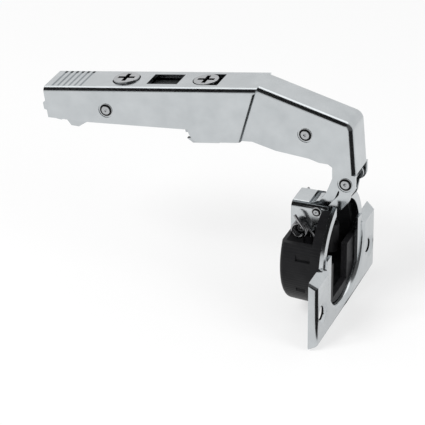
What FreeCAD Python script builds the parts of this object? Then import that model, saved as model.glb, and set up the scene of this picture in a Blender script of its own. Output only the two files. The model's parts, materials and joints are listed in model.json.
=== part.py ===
import FreeCAD, Part
import Sketcher
import math
import os
import re

# Concealed cup hinge for a blind corner, opened to 95 degrees.
# World frame: X along the cup axis, out of the cup's mouth; Y along the hinge pins; Z up.
# The origin is the centre of the cup on the seat plane that lies on the door.

V = FreeCAD.Vector
doc = FreeCAD.newDocument("CupHinge")
sheet = doc.addObject("Spreadsheet::Sheet", "Sizes")

# Driving dimensions, in millimetres and degrees.
SIZES = {
    # folded arm
    "sheet_wall": 1.2,
    "bend_radius": 1.8,
    "tail_length": 25.5,
    "screw_pitch": 26.5,
    "crest_run": 18.8,
    "arm_width": 14.5,
    "arm_slope": 8.5,
    "crest_x": -24.4,
    "crest_z": 53.3,
    "rear_depth": 10.0,
    "mid_depth": 13.4,
    "hook_depth": 17.5,
    "hook_lead": 5.4,
    "hook_flat": 0.7,
    "rear_step": 12.3,
    "rear_fall": 1.4,
    "nose_width": 12.2,
    "nose_drop": 14.4,
    "nose_length": 30.7,
    "nose_depth": 17.8,
    "nose_end_depth": 15.8,
    "nose_corner_radius": 3.2,
    "front_web_end_z": 29.4,
    "leg_back": 3.5,
    "leg_height": 4.6,
    "leg_eye_radius": 3.1,
    "seam_lean": 7.7,
    "joggle_run": 1.4,
    # pivots
    "nose_pivot_x": 3.6,
    "nose_pivot_z": 26.0,
    "arm_pivot_x": -9.2,
    "arm_pivot_z": 40.4,
    "upper_pin_x": -5.4,
    "upper_pin_z": 15.0,
    "lower_pin_x": -10.2,
    "lower_pin_z": 9.2,
    "rivet_radius": 1.5,
    "rivet_head_radius": 2.1,
    "rivet_head_height": 0.45,
    "rivet_sink": 0.25,
    "rivet_groove": 0.35,
    "pin_radius": 1.3,
    "pin_head_radius": 1.6,
    "running_gap": 0.06,
    "side_gap": 0.2,
    # links
    "outer_link_width": 3.6,
    "outer_link_wall": 1.0,
    "outer_link_half": 4.2,
    "outer_eye_radius": 2.6,
    "inner_link_width": 3.2,
    "inner_link_half": 2.9,
    "inner_eye_radius": 2.5,
    "free_ring_bore": 3.3,
    "free_ring_radius": 4.4,
    "free_ring_shift_x": 0.93,
    "free_ring_shift_z": -1.39,
    # cup
    "cup_radius": 17.4,
    "cup_wall": 1.2,
    "cup_depth": 13.6,
    "cup_taper": 0.7,
    "cup_floor_round": 1.6,
    "cup_floor_skin": 0.5,
    "cup_recess_depth": 0.6,
    "collar_back": 1.5,
    "seat_step": 0.3,
    "sleeve_wall": 0.5,
    "sleeve_gap": 0.05,
    "mouth_rounding": 1.8,
    "lip_y": 12.7,
    "lip_top_z": 5.0,
    "lip_bottom_z": -11.5,
    "lip_x": 0.9,
    "lip_wall": 1.0,
    "cover_front_x": 0.5,
    "cover_top_z": -1.0,
    "cover_gap": 0.15,
    "channel_half": 6.5,
    "channel_low_z": -13.2,
    "mouth_radius": 16.4,
    "ring_radius": 19.2,
    "plate_wall": 1.2,
    "wing_height": 2.7,
    "wing_half": 28.4,
    "wing_top_z": 3.4,
    "wing_bottom_z": -19.8,
    "wing_draft": 1.0,
    "wing_top_draft": 2.0,
    "screw_edge": 5.9,
    "screw_offset": 9.5,
    "screw_hole_radius": 2.2,
    "screw_dish_radius": 4.0,
    "screw_dish_depth": 0.6,
    "link_gap_half": 6.4,
    "link_room_gap": 0.35,
    # bracket
    "bracket_half": 5.8,
    "bracket_wall": 1.2,
    "bracket_top_z": 17.2,
    "bracket_front_x": -2.0,
    "bracket_bottom_z": 6.2,
    "bracket_roof_end_x": -8.4,
    "bracket_bend": 2.2,
    # springs
    "spring_wire_radius": 0.5,
    "spring_coil_radius": 2.1,
    "spring_turns": 2.0,
    "spring_pitch": 1.15,
    "spring_leg_long": 7.0,
    "spring_leg_short": 5.0,
    "spring_angle": 35.0,
    # damper
    "damper_radius": 2.8,
    "damper_y": 11.2,
    "damper_x": -6.6,
    "damper_low_z": -6.4,
    "damper_high_z": 2.8,
    "damper_wall": 0.8,
    "plunger_radius": 1.2,
    "plunger_travel": 3.0,
    # adjusting screws
    "depth_screw_radius": 4.1,
    "depth_screw_rise": 0.6,
    "side_screw_radius": 3.9,
    "side_screw_rise": 0.2,
    "side_screw_room": 1.2,
    "screw_rim_gap": 0.3,
    "window_land": 4.05,
    "window_half": 3.7,
    "screw_shank_radius": 1.9,
    "depth_stem": 7.0,
    "side_stem": 8.0,
    "cross_half": 2.7,
    "cross_width": 1.2,
    "cross_depth": 1.4,
    # carrier and release lever
    "carrier_gap": 0.3,
    "carrier_wall": 1.2,
    "carrier_start": 4.0,
    "carrier_end_gap": 1.5,
    "slide_gap": 0.35,
    "slide_back": 2.0,
    "slide_ahead": 3.0,
    "slide_clear": 0.4,
    "slot_gap": 0.7,
    "lever_gap": 0.35,
    "lever_wall": 1.3,
    "lever_boss": 1.9,
    "lever_tail": 2.6,
    "lobe_depth": 4.4,
    "lever_axle_depth": 8.6,
    "lever_axle_radius": 1.1,
    "rivet_to_screw": 5.3,
    "rear_rivet_depth": 7.4,
}

row = 1
for alias, value in SIZES.items():
    sheet.set("A%d" % row, alias)
    sheet.set("B%d" % row, "%g" % value)
    sheet.setAlias("B%d" % row, alias)
    row += 1
doc.recompute()

WORDS = re.compile(r"\b(%s)\b" % "|".join(sorted(SIZES, key=len, reverse=True)))


def bound(text):
    """Put the sheet's name before each alias of an expression."""
    return WORDS.sub(r"Sizes.\1", str(text))


def size(text):
    """The present value of an expression in sheet aliases."""
    value = sheet.evalExpression(bound(text))
    return float(getattr(value, "Value", value))


# Places worked out from the sizes. Places along the arm are measured from its rear end.
ARM_LENGTH = "(tail_length + screw_pitch + crest_run)"
SIDE_AT = "(tail_length + screw_pitch)"
HOOK_AT = "(tail_length + screw_pitch - hook_lead)"
RIVET_AT = "(tail_length - rivet_to_screw)"
AXLE_AT = "(tail_length - rivet_to_screw - slide_back - rivet_radius - slide_clear - lever_boss)"
CARRIER_END = "(%s - seam_lean - joggle_run - slide_back - carrier_end_gap)" % ARM_LENGTH
CARRIER_HALF = "(arm_width / 2 - sheet_wall - carrier_gap)"
LEVER_HALF = "(arm_width / 2 - sheet_wall - carrier_gap - carrier_wall - lever_gap)"
SCREW_Y = "(wing_half - screw_edge)"


def on_arm(along, deep):
    """Point of the rear channel: along its top from the rear end, and square below that top."""
    back = "(%s - (%s))" % (ARM_LENGTH, along)
    x = "crest_x - %s * cos(arm_slope * 1deg) + (%s) * sin(arm_slope * 1deg)" % (back, deep)
    z = "crest_z - %s * sin(arm_slope * 1deg) - (%s) * cos(arm_slope * 1deg)" % (back, deep)
    return x, z


def on_nose(along, deep):
    """Point of the nose: along its top from the crest, and square below that top."""
    x = "crest_x + (%s) * cos(nose_drop * 1deg) - (%s) * sin(nose_drop * 1deg)" % (along, deep)
    z = "crest_z - (%s) * sin(nose_drop * 1deg) - (%s) * cos(nose_drop * 1deg)" % (along, deep)
    return x, z


def new_body(label):
    body = doc.addObject("PartDesign::Body", label)
    body.Label = label
    return body


def new_sketch(owner, name, role):
    """A sketch on one of its body's origin planes, or a free one on the XZ plane."""
    if owner is None:
        sketch = doc.addObject("Sketcher::SketchObject", name)
        sketch.Placement = FreeCAD.Placement(V(0, 0, 0), FreeCAD.Rotation(V(1, 0, 0), 90))
        return sketch
    sketch = owner.newObject("Sketcher::SketchObject", name)
    plane = [f for f in owner.Origin.OriginFeatures if f.Role == role][0]
    sketch.AttachmentSupport = [(plane, "")]
    sketch.MapMode = "FlatFace"
    return sketch


def bind_point(sketch, geometry, corner, point):
    """Tie one point of a sketch to two expressions, measured from the sketch origin."""
    for kind, text in zip(("DistanceX", "DistanceY"), point):
        index = sketch.addConstraint(Sketcher.Constraint(kind, -1, 1, geometry, corner, size(text)))
        sketch.setExpression("Constraints[%d]" % index, bound(text))


def outline(sketch, points, closed=True):
    """A chain of straight lines whose corners are all bound to the sheet."""
    spots = [V(size(a), size(b), 0) for a, b in points]
    count = len(spots) if closed else len(spots) - 1
    first = sketch.GeometryCount
    for k in range(count):
        sketch.addGeometry(Part.LineSegment(spots[k], spots[(k + 1) % len(spots)]), False)
    last = count if closed else count - 1
    for k in range(last):
        follower = first + (k + 1) % count
        sketch.addConstraint(Sketcher.Constraint("Coincident", first + k, 2, follower, 1))
    for k in range(count):
        bind_point(sketch, first + k, 1, points[k])
    if not closed:
        bind_point(sketch, first + count - 1, 2, points[-1])


def circle(sketch, centre, radius):
    """A circle whose centre and radius are bound to the sheet."""
    middle = V(size(centre[0]), size(centre[1]), 0)
    index = sketch.addGeometry(Part.Circle(middle, V(0, 0, 1), size(radius)), False)
    bind_point(sketch, index, 3, centre)
    tie = sketch.addConstraint(Sketcher.Constraint("Radius", index, size(radius)))
    sketch.setExpression("Constraints[%d]" % tie, bound(radius))


def pad(body, sketch, length, symmetric=True, reverse=False):
    feature = body.newObject("PartDesign::Pad", sketch.Name + "_pad")
    feature.Profile = sketch
    feature.SideType = "Symmetric" if symmetric else "One side"
    feature.Reversed = reverse
    feature.setExpression("Length", bound(length))
    doc.recompute()
    return feature


def pocket(body, sketch, length=None, symmetric=True, reverse=False):
    """A cut that must take material away; without a length it goes right through."""
    before = body.Shape.Volume
    feature = body.newObject("PartDesign::Pocket", sketch.Name + "_cut")
    feature.Profile = sketch
    feature.SideType = "Symmetric" if symmetric else "One side"
    feature.Reversed = reverse
    if length is None:
        feature.Type = "ThroughAll"
    else:
        feature.setExpression("Length", bound(length))
    doc.recompute()
    if not body.Shape.Volume < before - 1e-6:
        raise ValueError("%s cuts nothing" % feature.Name)
    return feature


def edges_where(shape, test):
    return ["Edge%d" % (k + 1) for k, edge in enumerate(shape.Edges) if test(edge)]


def fillet(body, name, radius, test):
    """Round the edges of the body's last feature that pass a test."""
    base = body.Tip
    names = edges_where(base.Shape, test)
    feature = body.newObject("PartDesign::Fillet", name)
    feature.Base = (base, names)
    feature.setExpression("Radius", bound(radius))
    doc.recompute()
    return feature


def middle(edge):
    return edge.valueAt((edge.FirstParameter + edge.LastParameter) / 2)


def across(edge):
    """True for a straight edge parallel to the pins."""
    ends = edge.Vertexes
    if len(ends) != 2 or edge.Curve.TypeId != "Part::GeomLine":
        return False
    run = ends[1].Point - ends[0].Point
    return run.Length > 0.3 and abs(run.y) > 0.999 * run.Length


def near(point, x_text, z_text, reach):
    return math.hypot(point.x - size(x_text), point.z - size(z_text)) < reach


def cylinder(name, radius, half_length, x_text, z_text, y_text="0"):
    """A plain pin along Y, centred on y_text."""
    solid = doc.addObject("Part::Cylinder", name)
    solid.Placement = FreeCAD.Placement(V(0, 0, 0), FreeCAD.Rotation(V(1, 0, 0), 90))
    solid.setExpression("Radius", bound(radius))
    solid.setExpression("Height", bound("2 * (%s)" % half_length))
    solid.setExpression("Placement.Base.x", bound(x_text))
    solid.setExpression("Placement.Base.y", bound("(%s) + (%s)" % (y_text, half_length)))
    solid.setExpression("Placement.Base.z", bound(z_text))
    return solid


def box(name, x_low, x_high, y_low, y_high, z_low, z_high):
    solid = doc.addObject("Part::Box", name)
    solid.setExpression("Length", bound("(%s) - (%s)" % (x_high, x_low)))
    solid.setExpression("Width", bound("(%s) - (%s)" % (y_high, y_low)))
    solid.setExpression("Height", bound("(%s) - (%s)" % (z_high, z_low)))
    solid.setExpression("Placement.Base.x", bound(x_low))
    solid.setExpression("Placement.Base.y", bound(y_low))
    solid.setExpression("Placement.Base.z", bound(z_low))
    return solid


def fuse(name, parts):
    solid = doc.addObject("Part::MultiFuse", name)
    solid.Shapes = parts
    solid.Refine = True
    return solid


def cut(name, base, tool):
    solid = doc.addObject("Part::Cut", name)
    solid.Base = base
    solid.Tool = tool
    return solid


def strip(name, points, half_width, half_span, y_text="0"):
    """A plate of even width with round ends that follows an open path in the XZ plane."""
    path = new_sketch(None, name + "_path", None)
    outline(path, points, closed=False)
    doc.recompute()
    region = doc.addObject("Part::Offset2D", name + "_region")
    region.Source = path
    region.Fill = False
    region.Mode = "Pipe"
    region.Join = "Arc"
    region.setExpression("Value", bound(half_width))
    doc.recompute()
    plate = doc.addObject("Part::Extrusion", name)
    plate.Base = region
    plate.DirMode = "Custom"
    plate.Dir = V(0, 1, 0)
    plate.Solid = True
    plate.Symmetric = True
    plate.setExpression("LengthFwd", bound("2 * (%s)" % half_span))
    plate.setExpression("Placement.Base.y", bound(y_text))
    doc.recompute()
    return plate


NODES = []


def keep(solid, label):
    solid.Label = label
    NODES.append((label, solid))
    return solid


# Folded arm: rear channel, joggle and nose, one stamped sheet.
FOOT_X, FOOT_Z = on_arm(ARM_LENGTH + " - seam_lean", "hook_depth")


def make_arm_rear():
    body = new_body("arm_rear")
    side = new_sketch(body, "rear_side", "XZ_Plane")
    outline(side, [
        on_arm("0", "0"),
        ("crest_x", "crest_z"),
        (FOOT_X, FOOT_Z),
        on_arm(HOOK_AT, "hook_depth"),
        on_arm(HOOK_AT, "mid_depth"),
        on_arm("rear_step", "rear_depth + rear_fall"),
        on_arm("0", "rear_depth"),
    ])
    pad(body, side, "arm_width")
    half = size("arm_width / 2")
    slope = math.tan(math.radians(size("arm_slope")))

    def top_edge(edge):
        spot = middle(edge)
        line = size("crest_z") + (spot.x - size("crest_x")) * slope
        return abs(abs(spot.y) - half) < 1e-4 and abs(spot.z - line) < 1e-3

    fillet(body, "rear_bends", "bend_radius", top_edge)
    step_x, step_z = on_arm(HOOK_AT, "hook_depth")
    fillet(body, "hook_corner", "hook_depth - mid_depth - hook_flat",
           lambda e: across(e) and near(middle(e), step_x, step_z, 0.1))
    hollow = new_sketch(body, "rear_hollow", "XZ_Plane")
    outline(hollow, [
        on_arm("-3", "sheet_wall"),
        on_arm(ARM_LENGTH + " - joggle_run", "sheet_wall"),
        (FOOT_X + " - joggle_run", FOOT_Z),
        (FOOT_X + " - joggle_run", FOOT_Z + " - 12"),
        on_arm("-3", "hook_depth + 12"),
    ])
    pocket(body, hollow, "arm_width - 2 * sheet_wall")
    return body


def make_arm_nose():
    body = new_body("arm_nose")
    side = new_sketch(body, "nose_side", "XZ_Plane")
    outline(side, [
        ("crest_x", "crest_z"),
        on_nose("nose_length", "0"),
        ("nose_pivot_x + leg_eye_radius", "front_web_end_z"),
        ("nose_pivot_x - leg_back", "front_web_end_z"),
        ("nose_pivot_x - leg_back", "nose_pivot_z + leg_height"),
        on_nose("nose_length - 3.6", "nose_end_depth - 0.7"),
        on_nose("nose_length - 6.4", "nose_end_depth"),
        on_nose("nose_length - 9.8", "nose_end_depth"),
        on_nose("10.6", "nose_depth - 0.2"),
        on_nose("2.9", "nose_depth"),
        (FOOT_X + " - joggle_run", FOOT_Z),
        on_arm(ARM_LENGTH + " - joggle_run", "sheet_wall"),
    ])
    pad(body, side, "nose_width")
    corner_x, corner_z = on_nose("nose_length", "0")
    fillet(body, "nose_corner", "nose_corner_radius",
           lambda e: across(e) and near(middle(e), corner_x, corner_z, 0.1))
    half = size("nose_width / 2")

    def bend_edge(edge):
        spot = middle(edge)
        line = size("crest_z") - (spot.x - size("crest_x")) * math.tan(math.radians(size("nose_drop")))
        on_top = spot.x > size("crest_x") and spot.z > line - size("nose_corner_radius")
        on_front = spot.x > size("nose_pivot_x") + 1 and spot.z > size("front_web_end_z") + 0.1
        return abs(abs(spot.y) - half) < 1e-4 and (on_top or on_front)

    fillet(body, "nose_bends", "bend_radius", bend_edge)
    leg = new_sketch(body, "leg_side", "XZ_Plane")
    outline(leg, [
        ("nose_pivot_x + leg_eye_radius", "front_web_end_z"),
        ("nose_pivot_x + leg_eye_radius", "nose_pivot_z"),
        ("nose_pivot_x - leg_eye_radius", "nose_pivot_z"),
        ("nose_pivot_x - leg_back", "nose_pivot_z + leg_back"),
        ("nose_pivot_x - leg_back", "front_web_end_z"),
    ])
    pad(body, leg, "nose_width")
    eye = new_sketch(body, "leg_eye", "XZ_Plane")
    circle(eye, ("nose_pivot_x", "nose_pivot_z"), "leg_eye_radius")
    pad(body, eye, "nose_width")
    return body


def make_nose_hollow():
    """The room inside the nose, also cut through the joggle wall."""
    body = new_body("nose_hollow")
    side = new_sketch(body, "nose_hollow_side", "XZ_Plane")
    outline(side, [
        on_arm(ARM_LENGTH + " - seam_lean - joggle_run", "sheet_wall"),
        on_nose("0", "sheet_wall"),
        on_nose("nose_length - sheet_wall", "sheet_wall"),
        ("nose_pivot_x + leg_eye_radius - sheet_wall", "front_web_end_z"),
        ("nose_pivot_x + 12", "front_web_end_z"),
        ("nose_pivot_x + 12", "nose_pivot_z - 12"),
        ("crest_x - 9", "nose_pivot_z - 12"),
    ])
    pad(body, side, "nose_width - 2 * sheet_wall")
    corner_x, corner_z = on_nose("nose_length - sheet_wall", "sheet_wall")
    fillet(body, "nose_hollow_corner", "nose_corner_radius - sheet_wall",
           lambda e: across(e) and near(middle(e), corner_x, corner_z, 0.1))
    return body


def arm_placement():
    """Frame on the rear channel's top: x forward from the rear end, z square to the top."""
    x, z = on_arm("0", "0")
    turn = FreeCAD.Rotation(V(0, -1, 0), size("arm_slope"))
    return FreeCAD.Placement(V(size(x), 0, size(z)), turn)


def seat_on_arm(solid):
    """Bind a body's own frame to the rear channel's top."""
    x, z = on_arm("0", "0")
    solid.Placement = arm_placement()
    solid.setExpression("Placement.Base.x", bound(x))
    solid.setExpression("Placement.Base.z", bound(z))
    solid.setExpression("Placement.Rotation.Angle", bound("arm_slope * 1deg"))


def make_arm():
    """Arm sheet with its rivet holes, top openings and grip ribs."""
    rear_x, rear_z = on_arm(RIVET_AT, "rear_rivet_depth")
    rivets = (("nose_rivet", "nose_pivot_x", "nose_pivot_z", "nose_width"),
              ("arm_rivet", "arm_pivot_x", "arm_pivot_z", "nose_width"),
              ("rear_rivet", rear_x, rear_z, "arm_width"))
    holes = []
    for name, x, z, width in rivets:
        holes.append(cylinder(name + "_hole", "rivet_radius", "arm_width", x, z))
        for side in (-1, 1):
            holes.append(cylinder("%s_sink_%d" % (name, side + 1), "rivet_head_radius + rivet_groove",
                                  "rivet_sink", x, z, "%d * %s / 2" % (side, width)))
    cutter = new_body("arm_top_cutter")
    plan = new_sketch(cutter, "arm_top_plan", "XY_Plane")
    circle(plan, ("tail_length", "0"), "depth_screw_radius + screw_rim_gap")
    pad(cutter, plan, "3 * sheet_wall")
    window = new_sketch(cutter, "window_plan", "XY_Plane")
    start = "tail_length + depth_screw_radius + window_land"
    end = SIDE_AT + " - side_screw_radius - screw_rim_gap - window_land"
    outline(window, [(start, "-window_half"), (end, "-window_half"),
                     (end, "window_half"), (start, "window_half")])
    pad(cutter, window, "3 * sheet_wall")
    slot = new_sketch(cutter, "side_screw_plan", "XY_Plane")
    slot_half = "side_screw_radius + screw_rim_gap"
    slot_end = SIDE_AT + " + side_screw_radius + side_screw_room"
    outline(slot, [(SIDE_AT, "-(%s)" % slot_half), (slot_end, "-(%s)" % slot_half),
                   (slot_end, slot_half), (SIDE_AT, slot_half)])
    pad(cutter, slot, "3 * sheet_wall")
    round_end = new_sketch(cutter, "side_screw_round", "XY_Plane")
    circle(round_end, (SIDE_AT, "0"), slot_half)
    pad(cutter, round_end, "3 * sheet_wall")
    seat_on_arm(cutter)
    doc.recompute()
    ribs = []
    for k in range(6):
        groove = box("rib_groove_%d" % k, "2.2 + %d * 1.9" % k, "3.1 + %d * 1.9" % k,
                     "-arm_width / 2 + 1.6", "arm_width / 2 - 1.6", "-0.3", "0.5")
        ribs.append(groove)
    grooves = fuse("rib_grooves", ribs)
    seat_on_arm(grooves)
    tools = fuse("arm_tools", [cutter, grooves, make_nose_hollow()] + holes)
    block = fuse("arm_block", [make_arm_rear(), make_arm_nose()])
    return keep(cut("hinge_arm_solid", block, tools), "hinge_arm")


def make_rivet(label, half_width, x_text, z_text, head="rivet_head_radius"):
    """A rivet with low heads at both ends."""
    shank = cylinder(label + "_shank", "rivet_radius - running_gap / 2", half_width, x_text, z_text)
    heads = []
    for side in (-1, 1):
        middle_y = "%d * (%s + rivet_head_height / 2)" % (side, half_width)
        heads.append(cylinder(label + "_head_%d" % (side + 1), head, "rivet_head_height / 2",
                              x_text, z_text, middle_y))
    return keep(fuse(label + "_solid", [shank] + heads), label)


def make_pin(label, half_width, x_text, z_text):
    shank = cylinder(label + "_shank", "pin_radius", half_width, x_text, z_text)
    heads = []
    for side in (-1, 1):
        middle_y = "%d * (%s + 0.3)" % (side, half_width)
        heads.append(cylinder(label + "_head_%d" % (side + 1), "pin_head_radius", "0.3",
                              x_text, z_text, middle_y))
    return keep(fuse(label + "_solid", [shank] + heads), label)


def make_outer_link():
    """Stamped U link from the nose rivet to the lower pin, bowed round the upper pin."""
    path = [("nose_pivot_x", "nose_pivot_z"),
            ("nose_pivot_x - 0.9", "nose_pivot_z - 5.6"),
            ("upper_pin_x + 3.4", "upper_pin_z - 0.6"),
            ("upper_pin_x + 1.2", "upper_pin_z - 4.2"),
            ("lower_pin_x", "lower_pin_z")]
    cheeks = strip("outer_link_cheeks", path, "outer_link_width / 2", "outer_link_half")
    eyes = [cylinder("outer_link_eye_top", "outer_eye_radius", "outer_link_half",
                     "nose_pivot_x", "nose_pivot_z"),
            cylinder("outer_link_eye_low", "outer_eye_radius", "outer_link_half",
                     "lower_pin_x", "lower_pin_z")]
    web_path = [("nose_pivot_x + 0.3", "nose_pivot_z - 5.2"),
                ("upper_pin_x + 4.5", "upper_pin_z - 1.2"),
                ("upper_pin_x + 2.0", "upper_pin_z - 5.2"),
                ("lower_pin_x + 3.4", "lower_pin_z - 1.1")]
    web = strip("outer_link_web", web_path, "outer_link_wall / 2", "outer_link_half")
    hollow_path = [("nose_pivot_x", "nose_pivot_z + 3"), path[0], path[1], path[2], path[3], path[4],
                   ("lower_pin_x - 3", "lower_pin_z - 0.4")]
    hollow = strip("outer_link_hollow", hollow_path, "outer_eye_radius + 0.6",
                   "outer_link_half - outer_link_wall")
    sides = cut("outer_link_sides", fuse("outer_link_outer", [cheeks] + eyes), hollow)
    whole = fuse("outer_link_whole", [sides, web])
    bores = fuse("outer_link_bores", [
        cylinder("outer_link_bore_top", "rivet_radius + running_gap / 2", "10",
                 "nose_pivot_x", "nose_pivot_z"),
        cylinder("outer_link_bore_low", "pin_radius + running_gap", "10",
                 "lower_pin_x", "lower_pin_z")])
    return keep(cut("outer_link_solid", whole, bores), "outer_link")


def make_inner_link():
    """C-shaped link from the upper pin to the free ring inside the nose."""
    ring_x = "arm_pivot_x + free_ring_shift_x"
    ring_z = "arm_pivot_z + free_ring_shift_z"
    path = [(ring_x, ring_z),
            ("nose_pivot_x - 7.4", "nose_pivot_z + 9.2"),
            ("nose_pivot_x - 3.7", "nose_pivot_z + 4.2"),
            ("nose_pivot_x - 3.6", "nose_pivot_z - 0.6"),
            ("nose_pivot_x - 5.6", "nose_pivot_z - 6.2"),
            ("upper_pin_x", "upper_pin_z")]
    body = strip("inner_link_body", path, "inner_link_width / 2", "inner_link_half")
    ring = cylinder("inner_link_ring", "free_ring_radius", "inner_link_half", ring_x, ring_z)
    eye = cylinder("inner_link_eye", "inner_eye_radius", "inner_link_half", "upper_pin_x", "upper_pin_z")
    whole = fuse("inner_link_whole", [body, ring, eye])
    bores = fuse("inner_link_bores", [
        cylinder("inner_link_bore_top", "free_ring_bore", "10", ring_x, ring_z),
        cylinder("inner_link_bore_low", "pin_radius + running_gap", "10", "upper_pin_x", "upper_pin_z")])
    return keep(cut("inner_link_solid", whole, bores), "inner_link")


def make_bracket():
    """Steel roof and cheeks that hold both link pins in the cup."""
    body = new_body("cup_bracket")
    side = new_sketch(body, "bracket_side", "XZ_Plane")
    outline(side, [("-cup_depth", "bracket_top_z"),
                   ("bracket_front_x", "bracket_top_z"),
                   ("bracket_front_x", "upper_pin_z - 2.2"),
                   ("upper_pin_x - 0.6", "bracket_bottom_z + 4.2"),
                   ("lower_pin_x + 2.8", "bracket_bottom_z"),
                   ("-cup_depth", "bracket_bottom_z")])
    pad(body, side, "2 * bracket_half")
    top = size("bracket_top_z")
    half = size("bracket_half")
    fillet(body, "bracket_bends", "bracket_bend",
           lambda e: abs(middle(e).z - top) < 1e-4 and abs(abs(middle(e).y) - half) < 1e-4)
    hollow = new_sketch(body, "bracket_hollow", "XZ_Plane")
    outline(hollow, [("-cup_depth - 2", "bracket_top_z - bracket_wall"),
                     ("bracket_roof_end_x", "bracket_top_z - bracket_wall"),
                     ("bracket_roof_end_x", "bracket_top_z + 2"),
                     ("bracket_front_x + 2", "bracket_top_z + 2"),
                     ("bracket_front_x + 2", "bracket_bottom_z - 2"),
                     ("-cup_depth - 2", "bracket_bottom_z - 2")])
    pocket(body, hollow, "2 * (bracket_half - bracket_wall)")
    holes = new_sketch(body, "bracket_holes", "XZ_Plane")
    circle(holes, ("upper_pin_x", "upper_pin_z"), "pin_radius")
    circle(holes, ("lower_pin_x", "lower_pin_z"), "pin_radius")
    pocket(body, holes, "4 * bracket_half")
    return keep(body, "cup_bracket")


def wing_region(name, z_low, z_high, half, x_text):
    sketch = new_sketch(None, name, None)
    sketch.Placement = FreeCAD.Placement(V(0, 0, 0), FreeCAD.Rotation(V(1, 1, 1), 120))
    outline(sketch, [("-(%s)" % half, z_low), (half, z_low), (half, z_high), ("-(%s)" % half, z_high)])
    sketch.setExpression("Placement.Base.x", bound(x_text))
    doc.recompute()
    return sketch


def drafted(name, inset, x_low, x_high):
    """A rectangular block whose four sides lean in towards the front face."""
    low = wing_region(name + "_low", "wing_bottom_z + %s" % inset, "wing_top_z - %s" % inset,
                      "wing_half - %s" % inset, x_low)
    high = wing_region(name + "_high", "wing_bottom_z + wing_draft + %s" % inset,
                       "wing_top_z - wing_top_draft - %s" % inset,
                       "wing_half - wing_draft - %s" % inset, x_high)
    solid = doc.addObject("Part::Loft", name)
    solid.Sections = [low, high]
    solid.Solid = True
    solid.Ruled = True
    return solid


def disc(name, radius, x_low, x_high):
    solid = doc.addObject("Part::Cylinder", name)
    solid.Placement = FreeCAD.Placement(V(0, 0, 0), FreeCAD.Rotation(V(0, 1, 0), 90))
    solid.setExpression("Radius", bound(radius))
    solid.setExpression("Height", bound("(%s) - (%s)" % (x_high, x_low)))
    solid.setExpression("Placement.Base.x", bound(x_low))
    return solid


def make_mouth_flare():
    """The ring of material that the rounding of the mouth's front edge takes away."""
    ring = disc("flare_ring", "mouth_radius + mouth_rounding", "wing_height - mouth_rounding",
                "wing_height + 1")
    roll = doc.addObject("Part::Torus", "flare_roll")
    roll.Placement = FreeCAD.Placement(V(0, 0, 0), FreeCAD.Rotation(V(0, 1, 0), 90))
    roll.setExpression("Radius1", bound("mouth_radius + mouth_rounding"))
    roll.setExpression("Radius2", bound("mouth_rounding"))
    roll.setExpression("Placement.Base.x", bound("wing_height - mouth_rounding"))
    return cut("mouth_flare", ring, roll)


def make_mouth_lips():
    """Two upright lips of the sheet that close the mouth's left and right edges."""
    sides = []
    for side in (-1, 1):
        low, high = ("-cup_radius", "-lip_y") if side < 0 else ("lip_y", "cup_radius")
        sides.append(box("lip_%d" % (side + 1), "lip_x", "lip_x + lip_wall", low, high,
                         "lip_bottom_z", "lip_top_z"))
    lips = doc.addObject("Part::Common", "mouth_lips")
    lips.Base = fuse("lip_pair", sides)
    lips.Tool = disc("lip_limit", "(mouth_radius + cup_radius) / 2", "lip_x - 1", "lip_x + lip_wall + 1")
    return lips


def make_flange():
    """Stamped plate: raised hollow wings, a flat ring above them and the drawn mouth."""
    wings = drafted("wing_block", "0", "0", "wing_height")
    hollow = drafted("wing_hollow", "plate_wall", "-0.01", "wing_height - plate_wall")
    ring = disc("flange_ring", "ring_radius", "0", "plate_wall")
    collar = disc("mouth_collar", "cup_radius", "0", "wing_height")
    step = disc("seat_step_disc", "cup_radius", "-seat_step", "plate_wall")
    sleeve = disc("mouth_sleeve", "mouth_radius + sleeve_wall", "-collar_back", "plate_wall")
    lower = box("collar_limit", "-1", "wing_height + 1", "-wing_half", "wing_half",
                "wing_bottom_z + wing_draft", "wing_top_z - wing_top_draft")
    collar_low = doc.addObject("Part::Common", "collar_low")
    collar_low.Base = collar
    collar_low.Tool = lower
    shell = cut("wing_shell", wings, hollow)
    plate = fuse("flange_plate", [shell, ring, collar_low, step, sleeve])
    mouth = disc("flange_mouth", "mouth_radius", "-collar_back - 1", "wing_height + 1")
    gap = box("link_gap", "-collar_back - 1", "wing_height + 1", "-link_gap_half", "link_gap_half",
              "0", "ring_radius + 2")
    flare = make_mouth_flare()
    holes = []
    for side in (-1, 1):
        hole = disc("screw_hole_%d" % (side + 1), "screw_hole_radius", "-1", "wing_height + 1")
        hole.setExpression("Placement.Base.y", bound("%d * %s" % (side, SCREW_Y)))
        hole.setExpression("Placement.Base.z", bound("-screw_offset"))
        dish = doc.addObject("Part::Cone", "screw_dish_%d" % (side + 1))
        dish.Placement = FreeCAD.Placement(V(0, 0, 0), FreeCAD.Rotation(V(0, 1, 0), 90))
        dish.setExpression("Radius1", bound("screw_hole_radius"))
        dish.setExpression("Radius2", bound("screw_dish_radius"))
        dish.setExpression("Height", bound("screw_dish_depth"))
        dish.setExpression("Placement.Base.x", bound("wing_height - screw_dish_depth"))
        dish.setExpression("Placement.Base.y", bound("%d * %s" % (side, SCREW_Y)))
        dish.setExpression("Placement.Base.z", bound("-screw_offset"))
        holes += [hole, dish]
    tools = fuse("flange_tools", [mouth, gap, flare] + holes)
    pressed = cut("flange_pressed", plate, tools)
    return keep(fuse("cup_flange_solid", [pressed, make_mouth_lips()]), "cup_flange")


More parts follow.
